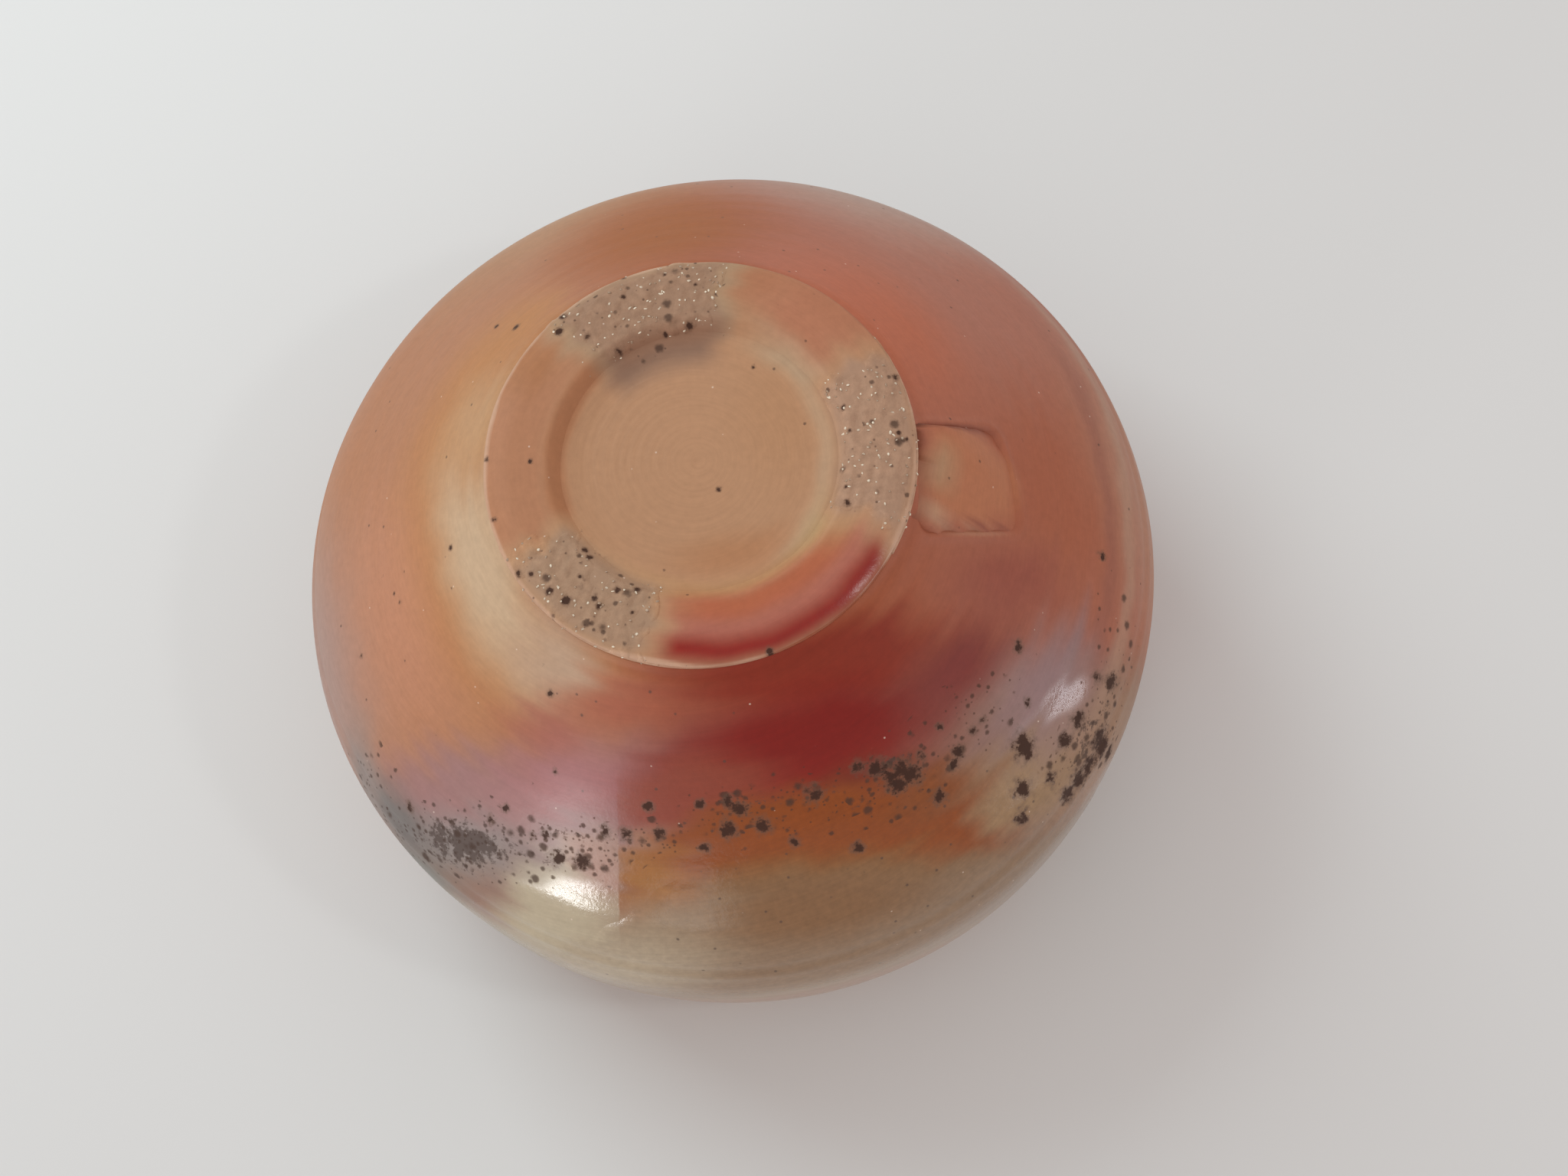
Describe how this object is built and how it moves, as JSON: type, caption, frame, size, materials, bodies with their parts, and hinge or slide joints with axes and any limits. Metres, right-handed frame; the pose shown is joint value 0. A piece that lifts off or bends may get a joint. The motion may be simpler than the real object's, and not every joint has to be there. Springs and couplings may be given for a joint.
{
  "type": "terra sigillata bowl",
  "caption": "Wheel-thrown tea-bowl-sized bowl lying mouth down: full belly, long straight shoulder and a low foot ring with kiln wad scars; holds a drink or food when turned over.",
  "frame": {"origin": "centre of the lip's flat resting ring; the bowl lies mouth down on it, as in the picture", "axes": "+Z is the bowl's axis, from the mouth up to the foot ring; the stamp's place lies 12.8 degrees from +X towards -Y, and the ash glaze faces -Y. For use the bowl is turned over, by 180 degrees about X, and then stands on its foot ring."},
  "size_m": [0.12, 0.12, 0.0779],
  "materials": {
    "clay": "bare fired stoneware, buff, matt, with fine turning lines",
    "flashed_clay": "ring clay flashed salmon to brick red, satin, glossy on its roll at one side",
    "slip": "burnished terra sigillata, satin, flashed from buff and orange to brick red and mauve",
    "ash": "natural ash glaze, glossy, olive putty, with iron spots along its edge",
    "wad": "coarse wad clay, matt taupe, with quartz grains and iron spots"
  },
  "bodies": {
    "root": {"bowl_body": "clay", "foot_ring": "flashed_clay", "slip_coat": "slip", "ash_glaze": "ash", "wad_scar_far": "wad", "wad_scar_right": "wad", "wad_scar_near": "wad"}
  },
  "joints": []
}
